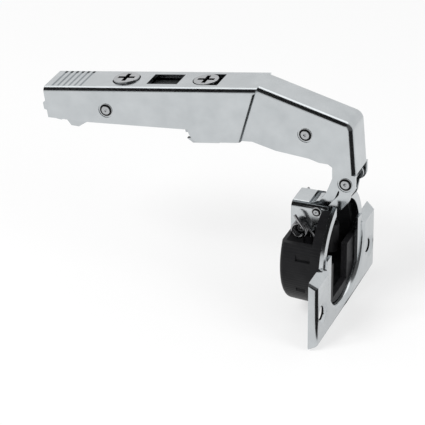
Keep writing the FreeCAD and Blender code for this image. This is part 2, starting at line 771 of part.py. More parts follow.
def make_cup():
    """Moulded cup: tapered wall, floor, and room at the top for the steel bracket."""
    outer = new_body("cup_outer")
    wall = new_sketch(outer, "cup_profile", "XZ_Plane")
    outline(wall, [("-cup_depth", "0"), ("-cup_depth", "cup_radius - cup_taper"),
                   ("-seat_step", "cup_radius"), ("-seat_step", "0")])
    turned = outer.newObject("PartDesign::Revolution", "cup_turned")
    turned.Profile = wall
    turned.ReferenceAxis = (wall, ["H_Axis"])
    turned.Angle = 360
    doc.recompute()
    floor_x = -size("cup_depth")
    fillet(outer, "cup_floor_edge", "cup_floor_round", lambda e: abs(middle(e).x - floor_x) < 1e-4)
    inner = disc("cup_inner", "cup_radius - cup_taper - cup_wall", "-cup_depth + cup_wall", "2")
    sleeve_room = disc("sleeve_room", "mouth_radius + sleeve_wall + sleeve_gap", "-collar_back", "2")
    room = box("bracket_room", "-cup_depth - 2", "2", "-bracket_half - side_gap",
               "bracket_half + side_gap", "bracket_bottom_z - side_gap", "ring_radius + 4")
    shoulder = box("cup_shoulder", "-cup_depth - 2", "bracket_front_x - 1.5", "-ring_radius", "ring_radius",
                   "bracket_bottom_z + 1.8", "ring_radius + 4")
    link_room = box("link_room", "-cup_depth + cup_floor_skin", "2", "-outer_link_half - link_room_gap",
                    "outer_link_half + link_room_gap", "channel_low_z", "bracket_bottom_z")
    recesses = []
    for k, (x_low, x_high, z_low, z_high) in enumerate((("-8.4", "-3.6", "3.2", "5.2"),
                                                        ("-8.4", "-5.4", "-8.4", "-6.4"))):
        for side in (-1, 1):
            deep = "(cup_radius - cup_taper / 2 - cup_recess_depth - %s)" % ("1.4" if k else "0.4")
            low, high = ("-cup_radius - 1", "-" + deep) if side < 0 else (deep, "cup_radius + 1")
            recesses.append(box("cup_recess_%d_%d" % (k, side + 1), x_low, x_high, low, high,
                                z_low, z_high))
    tools = fuse("cup_tools", [inner, sleeve_room, room, shoulder, link_room] + recesses)
    return keep(cut("cup_body_solid", outer, tools), "cup_body")


def make_cover():
    """Moulded cover over the damper, seated on the cup's rim below the links' channel."""
    plate = disc("cover_disc", "mouth_radius - cover_gap", "-collar_back", "cover_front_x")
    above = box("cover_above", "-collar_back - 1", "cover_front_x + 1", "-cup_radius", "cup_radius",
                "cover_top_z", "cup_radius")
    channel = box("cover_channel", "-collar_back - 1", "cover_front_x + 1", "-channel_half",
                  "channel_half", "channel_low_z", "cup_radius")
    return keep(cut("damper_cover_solid", plate, fuse("cover_tools", [above, channel])), "damper_cover")


def make_spring(label, side):
    """Torsion spring outside one cheek, wound round the lower pin, with two legs."""
    turns = size("spring_turns")
    coil = size("spring_coil_radius")
    wire = size("spring_wire_radius")
    pitch = size("spring_pitch")
    overlap = wire / 2
    tilt = size("spring_angle")
    start_y = size("bracket_half + side_gap") + wire
    helix = Part.makeHelix(pitch, pitch * turns, coil)
    profile = Part.Wire([Part.makeCircle(wire, V(coil, 0, 0), V(0, 1, 0.18))])
    sweep = Part.Wire(helix.Edges).makePipeShell([profile], True, True)
    leg_a = Part.makeCylinder(wire, size("spring_leg_long"), V(coil, overlap, 0), V(0, -1, 0))
    leg_b = Part.makeCylinder(wire, size("spring_leg_short"), V(coil, -overlap, pitch * turns), V(0, 1, 0))
    solid = sweep.fuse([leg_a, leg_b])
    turned = solid.copy()
    turned.rotate(V(0, 0, 0), V(1, 0, 0), 90)
    if side > 0:
        turned.rotate(V(0, 0, 0), V(0, 0, 1), 180)
    turned.rotate(V(0, 0, 0), V(0, 1, 0), -tilt if side < 0 else 180 - tilt)
    turned.translate(V(size("lower_pin_x"), side * start_y, size("lower_pin_z")))
    feature = doc.addObject("Part::Feature", label)
    feature.Shape = turned
    return keep(feature, label)


def make_damper():
    """Small piston damper beside the link space: cylinder, plunger and return spring."""
    def upright(name, radius, z_low, z_high):
        solid = doc.addObject("Part::Cylinder", name)
        solid.setExpression("Radius", bound(radius))
        solid.setExpression("Height", bound("(%s) - (%s)" % (z_high, z_low)))
        solid.setExpression("Placement.Base.x", bound("damper_x"))
        solid.setExpression("Placement.Base.y", bound("damper_y"))
        solid.setExpression("Placement.Base.z", bound(z_low))
        return solid
    tube = upright("damper_tube", "damper_radius", "damper_low_z", "damper_high_z")
    bore = upright("damper_bore", "damper_radius - damper_wall", "damper_low_z + damper_wall",
                   "damper_high_z + 1")
    keep(cut("damper_cylinder_solid", tube, bore), "damper_cylinder")
    rest_z = "(damper_low_z + damper_wall + plunger_travel + side_gap)"
    rod = upright("plunger_rod", "plunger_radius", rest_z, "damper_high_z + plunger_travel + side_gap")
    head = upright("plunger_head", "damper_radius - damper_wall - running_gap", rest_z,
                   rest_z + " + plunger_radius")
    keep(fuse("damper_plunger_solid", [rod, head]), "damper_plunger")


def make_screw(label, at_text, radius, rise, reach):
    """Adjusting screw: round head with a cross recess, and a shank below the arm's web."""
    body = new_body(label)
    for name, disc_radius, length, down in (("head", radius, "sheet_wall - 0.1", True),
                                            ("rim", radius, rise, False),
                                            ("stem", "screw_shank_radius", reach, True)):
        plan = new_sketch(body, "%s_%s" % (label, name), "XY_Plane")
        circle(plan, (at_text, "0"), disc_radius)
        pad(body, plan, length, symmetric=False, reverse=down)
    for name, half_x, half_y in (("a", "cross_half", "cross_width / 2"),
                                 ("b", "cross_width / 2", "cross_half")):
        slot = new_sketch(body, "%s_cross_%s" % (label, name), "XY_Plane")
        low_x, high_x = "%s - %s" % (at_text, half_x), "%s + %s" % (at_text, half_x)
        outline(slot, [(low_x, "-" + half_y), (high_x, "-" + half_y), (high_x, half_y), (low_x, half_y)])
        pocket(body, slot, "2 * cross_depth")
    seat_on_arm(body)
    doc.recompute()
    return keep(body, label)


def make_carrier():
    """Inner channel that clips to the mounting plate: front hooks and a slotted rear."""
    body = new_body("clip_carrier")
    side = new_sketch(body, "carrier_side", "XZ_Plane")
    top = "-(sheet_wall + slide_gap)"
    outline(side, [("carrier_start", top),
                   (CARRIER_END, top),
                   (CARRIER_END, "-hook_depth + 3"),
                   (CARRIER_END + " - 2.6", "-hook_depth - 0.9"),
                   (HOOK_AT + " + 0.4", "-hook_depth - 0.9"),
                   (HOOK_AT + " - 1.4", "-hook_depth + 0.6"),
                   (HOOK_AT + " - 1.6", "-mid_depth"),
                   ("carrier_start + 14", "-rear_depth - 1"),
                   ("carrier_start", "-rear_depth + 0.6")])
    pad(body, side, "2 * " + CARRIER_HALF)
    hollow = new_sketch(body, "carrier_hollow", "XZ_Plane")
    outline(hollow, [("carrier_start - 2", top + " - carrier_wall"),
                     (CARRIER_END + " + 2", top + " - carrier_wall"),
                     (CARRIER_END + " + 2", "-hook_depth - 6"),
                     ("carrier_start - 2", "-hook_depth - 6")])
    pocket(body, hollow, "2 * (%s - carrier_wall)" % CARRIER_HALF)
    slot = new_sketch(body, "carrier_slots", "XZ_Plane")
    slot_low = "-rear_rivet_depth - rivet_radius - slot_gap"
    slot_high = "-rear_rivet_depth + rivet_radius + slot_gap"
    slot_back = RIVET_AT + " - slide_back - rivet_radius - slide_clear"
    slot_front = RIVET_AT + " + slide_ahead + rivet_radius + slide_clear"
    outline(slot, [(slot_back, slot_low), (slot_front, slot_low), (slot_front, slot_high),
                   (slot_back, slot_high)])
    pocket(body, slot, "2 * arm_width")
    axle = new_sketch(body, "carrier_axle_holes", "XZ_Plane")
    circle(axle, (AXLE_AT, "-lever_axle_depth"), "lever_axle_radius")
    pocket(body, axle, "2 * arm_width")
    grip = new_sketch(body, "carrier_grip", "XZ_Plane")
    outline(grip, [(HOOK_AT + " - 4", "-hook_depth + 2.6"),
                   (HOOK_AT + " + 3.2", "-hook_depth + 2.6"),
                   (HOOK_AT + " + 3.2", "-hook_depth + 0.7"),
                   (HOOK_AT + " - 4", "-hook_depth + 0.7")])
    pocket(body, grip, "2 * arm_width")
    slot_half = "screw_shank_radius + slot_gap"
    for name, at in (("depth", "tail_length"), ("side", SIDE_AT)):
        back, front = at + " - slide_back", at + " + slide_ahead"
        run = new_sketch(body, name + "_slot_run", "XY_Plane")
        outline(run, [(back, "-(%s)" % slot_half), (front, "-(%s)" % slot_half),
                      (front, slot_half), (back, slot_half)])
        pocket(body, run, "hook_depth")
        for end, place in (("back", back), ("front", front)):
            tip = new_sketch(body, "%s_slot_%s" % (name, end), "XY_Plane")
            circle(tip, (place, "0"), slot_half)
            pocket(body, tip, "hook_depth")
    seat_on_arm(body)
    doc.recompute()
    return keep(body, "clip_carrier")


def make_lever():
    """Release lever at the rear, with its finger tab and two catch lobes."""
    body = new_body("clip_lever")
    side = new_sketch(body, "lever_side", "XZ_Plane")
    front = AXLE_AT + " + lever_boss"
    outline(side, [("-lever_tail", "-6.4"), ("1.0 - lever_tail / 2", "-5.2"),
                   (front, "-lever_axle_depth + lever_boss"),
                   (front, "-lever_axle_depth - lever_boss"),
                   (AXLE_AT + " - 4.6", "-rear_depth - lobe_depth + 0.8"),
                   (AXLE_AT + " - 6.0", "-rear_depth - lobe_depth"),
                   (AXLE_AT + " - 8.6", "-rear_depth - lobe_depth + 0.4"),
                   (AXLE_AT + " - 10.6", "-rear_depth - 0.6"),
                   (AXLE_AT + " - 11.6", "-rear_depth - 2.2"),
                   (AXLE_AT + " - 13.2", "-rear_depth - 1.8"),
                   (AXLE_AT + " - 14.0", "-rear_depth + 0.4"),
                   ("-lever_tail", "-rear_depth + 1.4")])
    pad(body, side, "2 * " + LEVER_HALF)
    hollow = new_sketch(body, "lever_hollow", "XZ_Plane")
    outline(hollow, [("2.4", "-3"), (AXLE_AT + " + 4", "-3"), (AXLE_AT + " + 4", "-hook_depth"),
                     ("2.4", "-hook_depth")])
    pocket(body, hollow, "2 * (%s - lever_wall)" % LEVER_HALF)
    bore = new_sketch(body, "lever_bore", "XZ_Plane")
    circle(bore, (AXLE_AT, "-lever_axle_depth"), "lever_axle_radius + running_gap")
    pocket(body, bore, "2 * arm_width")
    seat_on_arm(body)
    doc.recompute()
    return keep(body, "clip_lever")


make_arm()
make_rivet("nose_rivet", "(nose_width / 2 - rivet_sink)", "nose_pivot_x", "nose_pivot_z")
make_rivet("arm_rivet", "(nose_width / 2 - rivet_sink)", "arm_pivot_x", "arm_pivot_z")
make_rivet("rear_rivet", "(arm_width / 2 - rivet_sink)", *on_arm(RIVET_AT, "rear_rivet_depth"))
make_outer_link()
make_inner_link()
make_pin("upper_pin", "bracket_half", "upper_pin_x", "upper_pin_z")
make_pin("lower_pin", "bracket_half", "lower_pin_x", "lower_pin_z")
make_bracket()
make_flange()
make_cup()
make_cover()
make_spring("closing_spring_left", -1)
make_spring("closing_spring_right", 1)
make_damper()
make_screw("depth_screw", "tail_length", "depth_screw_radius", "depth_screw_rise", "depth_stem")
make_screw("side_screw", SIDE_AT, "side_screw_radius", "side_screw_rise", "side_stem")
make_carrier()
make_lever()
lever_axle_x, lever_axle_z = on_arm(AXLE_AT, "lever_axle_depth")
keep(cylinder("lever_axle_solid", "lever_axle_radius", CARRIER_HALF, lever_axle_x, lever_axle_z),
     "lever_axle")

doc.recompute()
for item in doc.Objects:
    if "Invalid" in item.State or "Error" in item.State:
        raise ValueError("%s failed: %s" % (item.Name, item.State))

os.makedirs("parts", exist_ok=True)
for label, solid in NODES:
    shape = solid.Shape
    if shape.isNull() or not shape.isValid():
        raise ValueError("%s has no valid shape" % label)
    shape.exportStep("parts/%s.step" % label)
    bounds = shape.BoundBox
    print("%-22s solids %d volume %8.1f  x %.1f..%.1f y %.1f..%.1f z %.1f..%.1f" % (
        label, len(shape.Solids), shape.Volume,
        bounds.XMin, bounds.XMax, bounds.YMin, bounds.YMax, bounds.ZMin, bounds.ZMax))
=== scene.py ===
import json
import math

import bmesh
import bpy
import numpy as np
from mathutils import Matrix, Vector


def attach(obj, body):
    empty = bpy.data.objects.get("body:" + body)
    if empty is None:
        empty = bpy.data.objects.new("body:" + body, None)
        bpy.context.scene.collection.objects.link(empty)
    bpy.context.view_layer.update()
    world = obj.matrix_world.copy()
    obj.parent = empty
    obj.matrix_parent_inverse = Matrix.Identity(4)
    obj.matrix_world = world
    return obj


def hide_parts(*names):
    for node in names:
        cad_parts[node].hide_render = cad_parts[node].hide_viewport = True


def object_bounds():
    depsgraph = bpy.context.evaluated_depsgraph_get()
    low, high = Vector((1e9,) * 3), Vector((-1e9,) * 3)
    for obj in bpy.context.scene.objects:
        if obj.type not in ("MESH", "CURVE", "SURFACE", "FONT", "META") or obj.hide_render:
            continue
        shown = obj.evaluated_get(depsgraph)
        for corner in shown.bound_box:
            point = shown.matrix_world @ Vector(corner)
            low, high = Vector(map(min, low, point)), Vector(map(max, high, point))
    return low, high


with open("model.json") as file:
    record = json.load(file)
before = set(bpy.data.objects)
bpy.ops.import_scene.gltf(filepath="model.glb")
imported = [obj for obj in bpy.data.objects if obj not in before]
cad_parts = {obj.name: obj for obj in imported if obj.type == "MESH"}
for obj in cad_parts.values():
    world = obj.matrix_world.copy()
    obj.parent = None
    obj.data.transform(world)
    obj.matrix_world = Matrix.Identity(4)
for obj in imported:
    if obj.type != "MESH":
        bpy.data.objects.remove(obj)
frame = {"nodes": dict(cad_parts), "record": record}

# %% [markdown]
# A concealed cup hinge in a plain studio
#
# The hinge is a folded arm on a carrier, two links, and a cup that fits a
# round hole in a door. The frame holds every piece at its real size, in
# metres: X runs out of the cup's mouth, Y along the hinge pins and Z up. This
# file gives each piece its finish and the small forms that a construction
# model leaves plain. Nothing here moves or resizes a piece.

MM = 0.001
NODES = frame["nodes"]
BODY_OF = {node: body for body, members in frame["record"]["behaviour"]["bodies"].items()
           for node in members}
SLOT_OF = {part["node"]: part["material_slot"] for part in frame["record"]["subparts"]}
JOINTS = {joint["name"]: joint for joint in frame["record"]["behaviour"]["joints"]}
CAD_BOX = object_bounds()
print("pieces in the frame:", len(NODES))

# %% [markdown]
# Wiring a material
#
# A material in Blender is a tree of nodes joined by links. Every node could
# be made, set and linked in lines of its own, but the trees below would then
# be several times as long and hard to follow. So one helper makes a node with
# its links. A second one starts a group, which is a small tree with named
# inputs that many materials can use.


# %% Make a node, and start a group
def add(tree, kind, inputs=(), **settings):
    """Make a node, set its attributes, and link or set its inputs by name or number."""
    node = tree.nodes.new(kind)
    for name, value in settings.items():
        setattr(node, name, value)
    for key, value in dict(inputs).items():
        if isinstance(value, bpy.types.NodeSocket):
            tree.links.new(value, node.inputs[key])
        else:
            node.inputs[key].default_value = value
    return node


def new_group(name, inputs, output):
    """An empty shader group: float inputs with their usual values, and one float output."""
    tree = bpy.data.node_groups.new(name, "ShaderNodeTree")
    for socket, value in inputs.items():
        made = tree.interface.new_socket(socket, in_out="INPUT", socket_type="NodeSocketFloat")
        made.default_value = value
    tree.interface.new_socket(output, in_out="OUTPUT", socket_type="NodeSocketFloat")
    return tree, tree.nodes.new("NodeGroupInput"), tree.nodes.new("NodeGroupOutput")


# %% [markdown]
# Clouds
#
# Plated steel is never one flat grey. The plating bath leaves soft clouds,
# and fingers leave duller patches. An image of such a sheet could be laid on,
# but then every face needs a place in that image. Noise on the piece's own
# coordinates needs none, and it has no seams, so clouds are noise here.


# %% Clouds: soft patches, a few millimetres across
def make_clouds():
    """Value = centre + spread * (noise - 0.5), with noise on object coordinates."""
    tree, given, result = new_group("Clouds", {"Scale": 120.0, "Centre": 0.3, "Spread": 0.1}, "Value")
    place = add(tree, "ShaderNodeTexCoord")
    noise = add(tree, "ShaderNodeTexNoise", {
        "Vector": place.outputs["Object"], "Scale": given.outputs["Scale"],
        "Detail": 3.0, "Roughness": 0.55})
    shifted = add(tree, "ShaderNodeMath", {0: noise.outputs["Fac"], 1: 0.5}, operation="SUBTRACT")
    spread = add(tree, "ShaderNodeMath", {
        0: shifted.outputs[0], 1: given.outputs["Spread"], 2: given.outputs["Centre"]},
        operation="MULTIPLY_ADD")
    tree.links.new(spread.outputs[0], result.inputs["Value"])
    return tree


CLOUDS = make_clouds()

# %% [markdown]
# Grain
#
# Rolling leaves fine lines along the strip from which the sheet is cut. They
# could be modelled as grooves, but they are thinner than a hair and there are
# thousands of them. A bump map tilts the light in the same way and costs no
# faces, so grain is noise that is squeezed along X until it draws out into
# lines. With a stretch of 1 it is an even grain, as moulded plastic has it.


# %% Grain: fine lines along X for the bump
def make_grain():
    """Height = noise at the point (stretch x, y, z), so that a small stretch makes lines along X."""
    tree, given, result = new_group("Grain", {"Scale": 2500.0, "Stretch": 0.06}, "Height")
    place = add(tree, "ShaderNodeTexCoord")
    squeeze = add(tree, "ShaderNodeCombineXYZ", {"X": given.outputs["Stretch"], "Y": 1.0, "Z": 1.0})
    along = add(tree, "ShaderNodeVectorMath", {0: place.outputs["Object"], 1: squeeze.outputs[0]},
                operation="MULTIPLY")
    noise = add(tree, "ShaderNodeTexNoise", {
        "Vector": along.outputs[0], "Scale": given.outputs["Scale"], "Detail": 2.0})
    tree.links.new(noise.outputs["Fac"], result.inputs["Height"])
    return tree


GRAIN = make_grain()

# %% [markdown]
# Ribs
#
# The black wall of the cup has fine moulded ribs, about a millimetre apart.
# They could be modelled, but the bore in the door fixes the cup's outline,
# and at this scale the eye reads only their shading. A sine of the height
# gives them, and a little noise makes them uneven, as a worn mould does.


# %% Ribs: raised lines a fixed distance apart
def make_ribs():
    """Height = 0.5 + 0.5 sin(2 pi (z / pitch + blur * noise)), where z is the height."""
    tree, given, result = new_group("Ribs", {"Pitch": 0.001, "Blur": 0.3}, "Height")
    place = add(tree, "ShaderNodeTexCoord")
    split = add(tree, "ShaderNodeSeparateXYZ", {0: place.outputs["Object"]})
    count = add(tree, "ShaderNodeMath", {0: split.outputs["Z"], 1: given.outputs["Pitch"]},
                operation="DIVIDE")
    noise = add(tree, "ShaderNodeTexNoise", {"Vector": place.outputs["Object"], "Scale": 500.0})
    moved = add(tree, "ShaderNodeMath", {
        0: noise.outputs["Fac"], 1: given.outputs["Blur"], 2: count.outputs[0]},
        operation="MULTIPLY_ADD")
    turn = add(tree, "ShaderNodeMath", {0: moved.outputs[0], 1: 2 * math.pi}, operation="MULTIPLY")
    wave = add(tree, "ShaderNodeMath", {0: turn.outputs[0]}, operation="SINE")
    half = add(tree, "ShaderNodeMath", {0: wave.outputs[0], 1: 0.5, 2: 0.5}, operation="MULTIPLY_ADD")
    tree.links.new(half.outputs[0], result.inputs["Height"])
    return tree


RIBS = make_ribs()

# %% [markdown]
# Painted shade inside the channel
#
# The carrier lies in the folded arm, and hardly any light reaches its inside:
# seen through the window on top it is black. So shade is painted on its inside
# as a near-black colour, while its outer faces show below the arm and are
# bright. Two materials could be laid on by hand, face by face. But its walls
# run along the middle plane, so the distance from that plane already tells
# inside from outside, and a mask reads it.


# %% Channel shade: 0 near the middle plane, where shade is painted, 1 on the outer faces
def make_shade():
    """Mask = 0 where |y| < inner, 1 where |y| > outer, and a smooth step between them."""
    tree, given, result = new_group("Channel shade", {"Inner": 5.0 * MM, "Outer": 5.6 * MM}, "Mask")
    place = add(tree, "ShaderNodeTexCoord")
    split = add(tree, "ShaderNodeSeparateXYZ", {0: place.outputs["Object"]})
    away = add(tree, "ShaderNodeMath", {0: split.outputs["Y"]}, operation="ABSOLUTE")
    edge = add(tree, "ShaderNodeMapRange", {
        "Value": away.outputs[0], "From Min": given.outputs["Inner"], "From Max": given.outputs["Outer"]},
        interpolation_type="SMOOTHSTEP")
    tree.links.new(edge.outputs["Result"], result.inputs["Mask"])
    return tree


SHADE = make_shade()

# %% [markdown]
# One recipe for every finish
#
# Each finish could be a tree of its own, but all of them share one idea, and
# one recipe keeps them alike. The colour lies between two greys and follows
# the clouds. The roughness follows a larger set of clouds. The grain raises
# the surface by about a thousandth of a millimetre on metal, and by more on
# plastic. Metal and plastic differ only in their numbers.

# %% How strongly the effects show
TINT_SPREAD = 1.6
ROUGHNESS_SPREAD = 0.12
ROUGHNESS_CLOUD_SHARE = 0.4
GRAIN_RISE = 0.02 * MM
RIB_RISE = 0.06 * MM
RIB_STRENGTH = 0.5
METAL_SPECULAR, PLASTIC_SPECULAR = 0.5, 0.12
# Near-black colour painted as shade inside the carrier's channel.
CHANNEL_PAINTED_SHADE = (0.015, 0.016, 0.017)


# %% The recipe
def make_finish(name, dark, light, roughness, metal=True, grain=0.05, stretch=0.06,
                cloud_scale=160.0, grain_scale=2500.0, ribs=0.0, shaded=False):
    """Principled material: colour and roughness from clouds, bump from grain and, if asked, ribs."""
    material = bpy.data.materials.new(name)
    material.use_nodes = True
    tree = material.node_tree
    shader = tree.nodes["Principled BSDF"]
    shader.inputs["Metallic"].default_value = float(metal)
    shader.inputs["Specular IOR Level"].default_value = METAL_SPECULAR if metal else PLASTIC_SPECULAR

    tint = add(tree, "ShaderNodeGroup", {
        "Scale": cloud_scale, "Centre": 0.5, "Spread": TINT_SPREAD}, node_tree=CLOUDS)
    colour = add(tree, "ShaderNodeMix", {
        "Factor": tint.outputs["Value"], "A": (*dark, 1.0), "B": (*light, 1.0)}, data_type="RGBA")
    # Painted shade: where the channel mask is 0, the colour turns near black.
    if shaded:
        mask = add(tree, "ShaderNodeGroup", node_tree=SHADE)
        colour = add(tree, "ShaderNodeMix", {
            "Factor": mask.outputs["Mask"], "A": (*CHANNEL_PAINTED_SHADE, 1.0), "B": colour.outputs["Result"]},
            data_type="RGBA")
    tree.links.new(colour.outputs["Result"], shader.inputs["Base Color"])

    dull = add(tree, "ShaderNodeGroup", {
        "Scale": cloud_scale * ROUGHNESS_CLOUD_SHARE, "Centre": roughness, "Spread": ROUGHNESS_SPREAD},
        node_tree=CLOUDS)
    tree.links.new(dull.outputs["Value"], shader.inputs["Roughness"])

    lines = add(tree, "ShaderNodeGroup", {"Stretch": stretch, "Scale": grain_scale}, node_tree=GRAIN)
    bump = add(tree, "ShaderNodeBump", {
        "Height": lines.outputs["Height"], "Strength": grain, "Distance": GRAIN_RISE})
    if ribs > 0:
        raised = add(tree, "ShaderNodeGroup", {"Pitch": ribs}, node_tree=RIBS)
        bump = add(tree, "ShaderNodeBump", {
            "Height": raised.outputs["Height"], "Strength": RIB_STRENGTH, "Distance": RIB_RISE,
            "Normal": bump.outputs["Normal"]})
    tree.links.new(bump.outputs["Normal"], shader.inputs["Normal"])
    return material


# %% [markdown]
# Bright metal
#
# The sheet pieces are stamped from strip and nickel plated, so they are the
# palest. Pins and screws are turned or cold formed before plating and come
# out a little darker and rougher. Spring wire is drawn and oiled, and it is
# the darkest. Four finishes could be one with a tint, but each slot of the
# part has its own material, and so it keeps its own numbers.

# %% Finishes of the metal pieces
FINISHES = {
    "plated_sheet": make_finish("Nickel-plated sheet", (0.475, 0.50, 0.515), (0.57, 0.595, 0.61), 0.19),
    "plated_pin": make_finish("Nickel-plated pin", (0.36, 0.37, 0.38), (0.50, 0.51, 0.52), 0.27),
    "plated_screw": make_finish("Nickel-plated screw", (0.34, 0.35, 0.36), (0.52, 0.53, 0.54), 0.25),
    "spring_wire": make_finish("Spring wire", (0.22, 0.22, 0.23), (0.40, 0.40, 0.41), 0.22),
}
print("metal finishes:", len(FINISHES))

# %% [markdown]
# Moulded plastic
#
# The cup is moulded in black plastic with a fine, even grain, and the
# cylinder of its damper in a dark grey one. They could be plain colours, but
# then they would look like paint. A stretch of 1 leaves the grain without
# lines, and a stronger bump gives it the soft sheen of a spark-eroded mould.

# %% Finishes of the plastic pieces
FINISHES["black_plastic"] = make_finish(
    "Black moulded plastic", (0.008, 0.008, 0.009), (0.016, 0.016, 0.017), 0.40,
    metal=False, grain=0.15, stretch=1.0)
FINISHES["grey_plastic"] = make_finish(
    "Dark moulded plastic", (0.012, 0.012, 0.013), (0.03, 0.03, 0.032), 0.4,
    metal=False, grain=0.12, stretch=1.0)
print("finishes by slot:", len(FINISHES))

# %% [markdown]
# Three pieces with a finish of their own
#
# The carrier gets painted shade inside the channel and stays bright below it.
# The cover in the cup's mouth is coarsely textured, and the cup's wall has its
# ribs. Their slots stay those of their material. Only the look is changed,
# because no other piece of the same slot has such a surface. Narrow gaps and
# recesses, from which hardly any light comes, share one near-black material
# that paints their shade.

# %% Finishes of single pieces
OWN_FINISH = {
    # The carrier's colour has painted shade inside the channel.
    "clip_carrier": make_finish(
        "Sheet with painted channel shade", (0.42, 0.44, 0.455), (0.55, 0.575, 0.59), 0.25, shaded=True),
    "damper_cover": make_finish(
        "Textured black plastic", (0.008, 0.008, 0.009), (0.028, 0.028, 0.03), 0.45,
        metal=False, grain=0.9, stretch=1.0, cloud_scale=1400.0, grain_scale=1500.0),
    "cup_body": make_finish(
        "Ribbed black plastic", (0.006, 0.006, 0.007), (0.015, 0.015, 0.016), 0.4,
        metal=False, grain=0.3, stretch=1.0, ribs=0.9 * MM),
}
# Near-black material that paints the shade in gaps, screw holes and cross recesses.
PAINTED_GAP_SHADE = make_finish(
    "Painted gap shade", (0.002, 0.002, 0.002), (0.006, 0.006, 0.006), 0.7,
    metal=False, grain=0.05, stretch=1.0)
print("finishes of single pieces:", len(OWN_FINISH), "and one for gaps")

# %% [markdown]
# A piece and its place
#
# Every finished piece rides on the body of the frame piece that it takes the
# place of, so that the hinge still folds, and it keeps that piece's slot. It
# could be made at the origin and then moved. But the finishes read object
# coordinates, and each pattern would start anew. So its vertices lie in the
# frame's place, and the object itself stays at the origin, unturned.


# %% Put things in the scene, and tie pieces to their bodies
def put_in_scene(name, data):
    """A new object for a mesh, a lamp or a camera, linked to the scene."""
    thing = bpy.data.objects.new(name, data)
    bpy.context.scene.collection.objects.link(thing)
    return thing


def tie(piece, node):
    """Let a piece ride on a frame piece's body in its place, and hide the frame piece."""
    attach(piece, BODY_OF[node])
    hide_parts(node)


def finish_of(node):
    """The material of a frame piece: its own one, or else that of its slot."""
    return OWN_FINISH.get(node, FINISHES[SLOT_OF[node]])


# %% Read places and directions as arrays
def rows_of(items, what):
    """Array of a vector that each vertex or face has, one row each."""
    values = np.empty(len(items) * 3, np.float32)
    items.foreach_get(what, values)
    return values.reshape(-1, 3).astype(float)


def corners(node):
    """Array of a frame piece's vertices, in metres."""
    return rows_of(NODES[node].data.vertices, "co")


# %% [markdown]
# Surfaces from rings
#
# A rivet and a spring look unlike each other, but both are a stack of rings,
# closed by a point at each end: the rivet's rings grow and shrink along its
# axis, the spring's follow its wire. Blender's Spin and Curve tools could
# make both. Arrays are shorter, they keep every vertex at a known place, and
# the number of each face tells which ring it belongs to.


# %% The skin round a stack of rings
def skin(rings, steps):
    """Faces of a closed stack: a fan from the first end point, quads between rings, a fan to the last.

    Vertex i * steps + j is step j of ring i, and the two end points come after all rings.
    """
    here = np.arange(rings * steps).reshape(rings, steps)
    beside = np.roll(here, -1, axis=1)
    first, last = np.full(steps, rings * steps), np.full(steps, rings * steps + 1)
    start = np.stack((first, beside[0], here[0]), axis=-1)
    quads = np.stack((here[:-1], beside[:-1], beside[1:], here[1:]), axis=-1).reshape(-1, 4)
    end = np.stack((last, here[-1], beside[-1]), axis=-1)
    return start.tolist() + quads.tolist() + end.tolist()


SHARP_FROM = math.radians(40)


def new_piece(name, spots, faces, node, finishes, pick=None):
    """A smooth mesh object in place of a frame piece; pick gives each face the number of its finish."""
    mesh = bpy.data.meshes.new(name)
    mesh.from_pydata(spots.tolist(), [], faces)
    for finish in finishes:
        mesh.materials.append(finish)
    if pick is not None:
        mesh.polygons.foreach_set("material_index", np.asarray(pick, np.int32))
    mesh.shade_smooth()
    mesh.set_sharp_from_angle(angle=SHARP_FROM)
    piece = put_in_scene(name, mesh)
    tie(piece, node)
    return piece


# %% [markdown]
# Rivets and pins
#
# A rivet is set by a punch: the head spreads, the punch leaves a dimple in
# its middle, and a narrow gap stays round it in the counterbore. A torus and
# a few cylinders could be joined for that. A lathed profile gives all of it
# in one surface, because every section across a rivet is a circle. The gap is
# so narrow that hardly any light comes out of it, so its wall and floor are
# painted near black as shade.

# %% The lathe: rings of a profile about an axis along Y
ROUND_STEPS = 64


def lathe(centre, profile):
    """Point (i, j) = centre + (r_i cos t_j, y_i, r_i sin t_j), and for each face its row.

    The profile is a list of (r, y), and its first and last point lie on the axis.
    """
    turn = np.linspace(0, 2 * math.pi, ROUND_STEPS, endpoint=False)
    radius, height = np.array(profile[1:-1], float).T[:, :, None]
    rings = np.stack(np.broadcast_arrays(centre[0] + radius * np.cos(turn), height,
                                         centre[1] + radius * np.sin(turn)), axis=-1)
    ends = [(centre[0], profile[0][1], centre[1]), (centre[0], profile[-1][1], centre[1])]
    rows = np.repeat(np.arange(len(rings) + 1), ROUND_STEPS)
    return np.vstack((rings.reshape(-1, 3), ends)), skin(len(rings), ROUND_STEPS), rows


def arc(centre_r, centre_y, radius, start, end, count):
    """Points (r, y) of an arc about a centre, from one angle to another, in degrees."""
    turn = np.radians(np.linspace(start, end, count))
    return list(zip(centre_r + radius * np.cos(turn), centre_y + radius * np.sin(turn)))


# %% Half the profile of a rivet or pin
HEAD_ROUND = 0.22 * MM
COLLAR_ROUND = HEAD_ROUND / 4
DIMPLE_SHAPE = ((0.0, 1.0), (0.5, 0.8), (1.0, 0.12), (1.35, 0.0))


def turned_head(rim, top, head, collar, gap_floor, dimple, dimple_depth):
    """Profile from the axis outwards: dimple, rounded head, gap, and the rounded edge of the collar.

    DIMPLE_SHAPE holds shares of the dimple's radius and of its depth.
    """
    points = [(out * dimple, top - down * dimple_depth) for out, down in DIMPLE_SHAPE]
    points += arc(head - HEAD_ROUND, top - HEAD_ROUND, HEAD_ROUND, 90, 5, 6)
    points += [(head, gap_floor), (collar, gap_floor)]
    points += arc(collar + COLLAR_ROUND, rim - COLLAR_ROUND, COLLAR_ROUND, 180, 90, 3)
    return points


# %% Turn a rivet or pin
GAP_DEPTH = 2.2
RIM_SHARE = 0.96


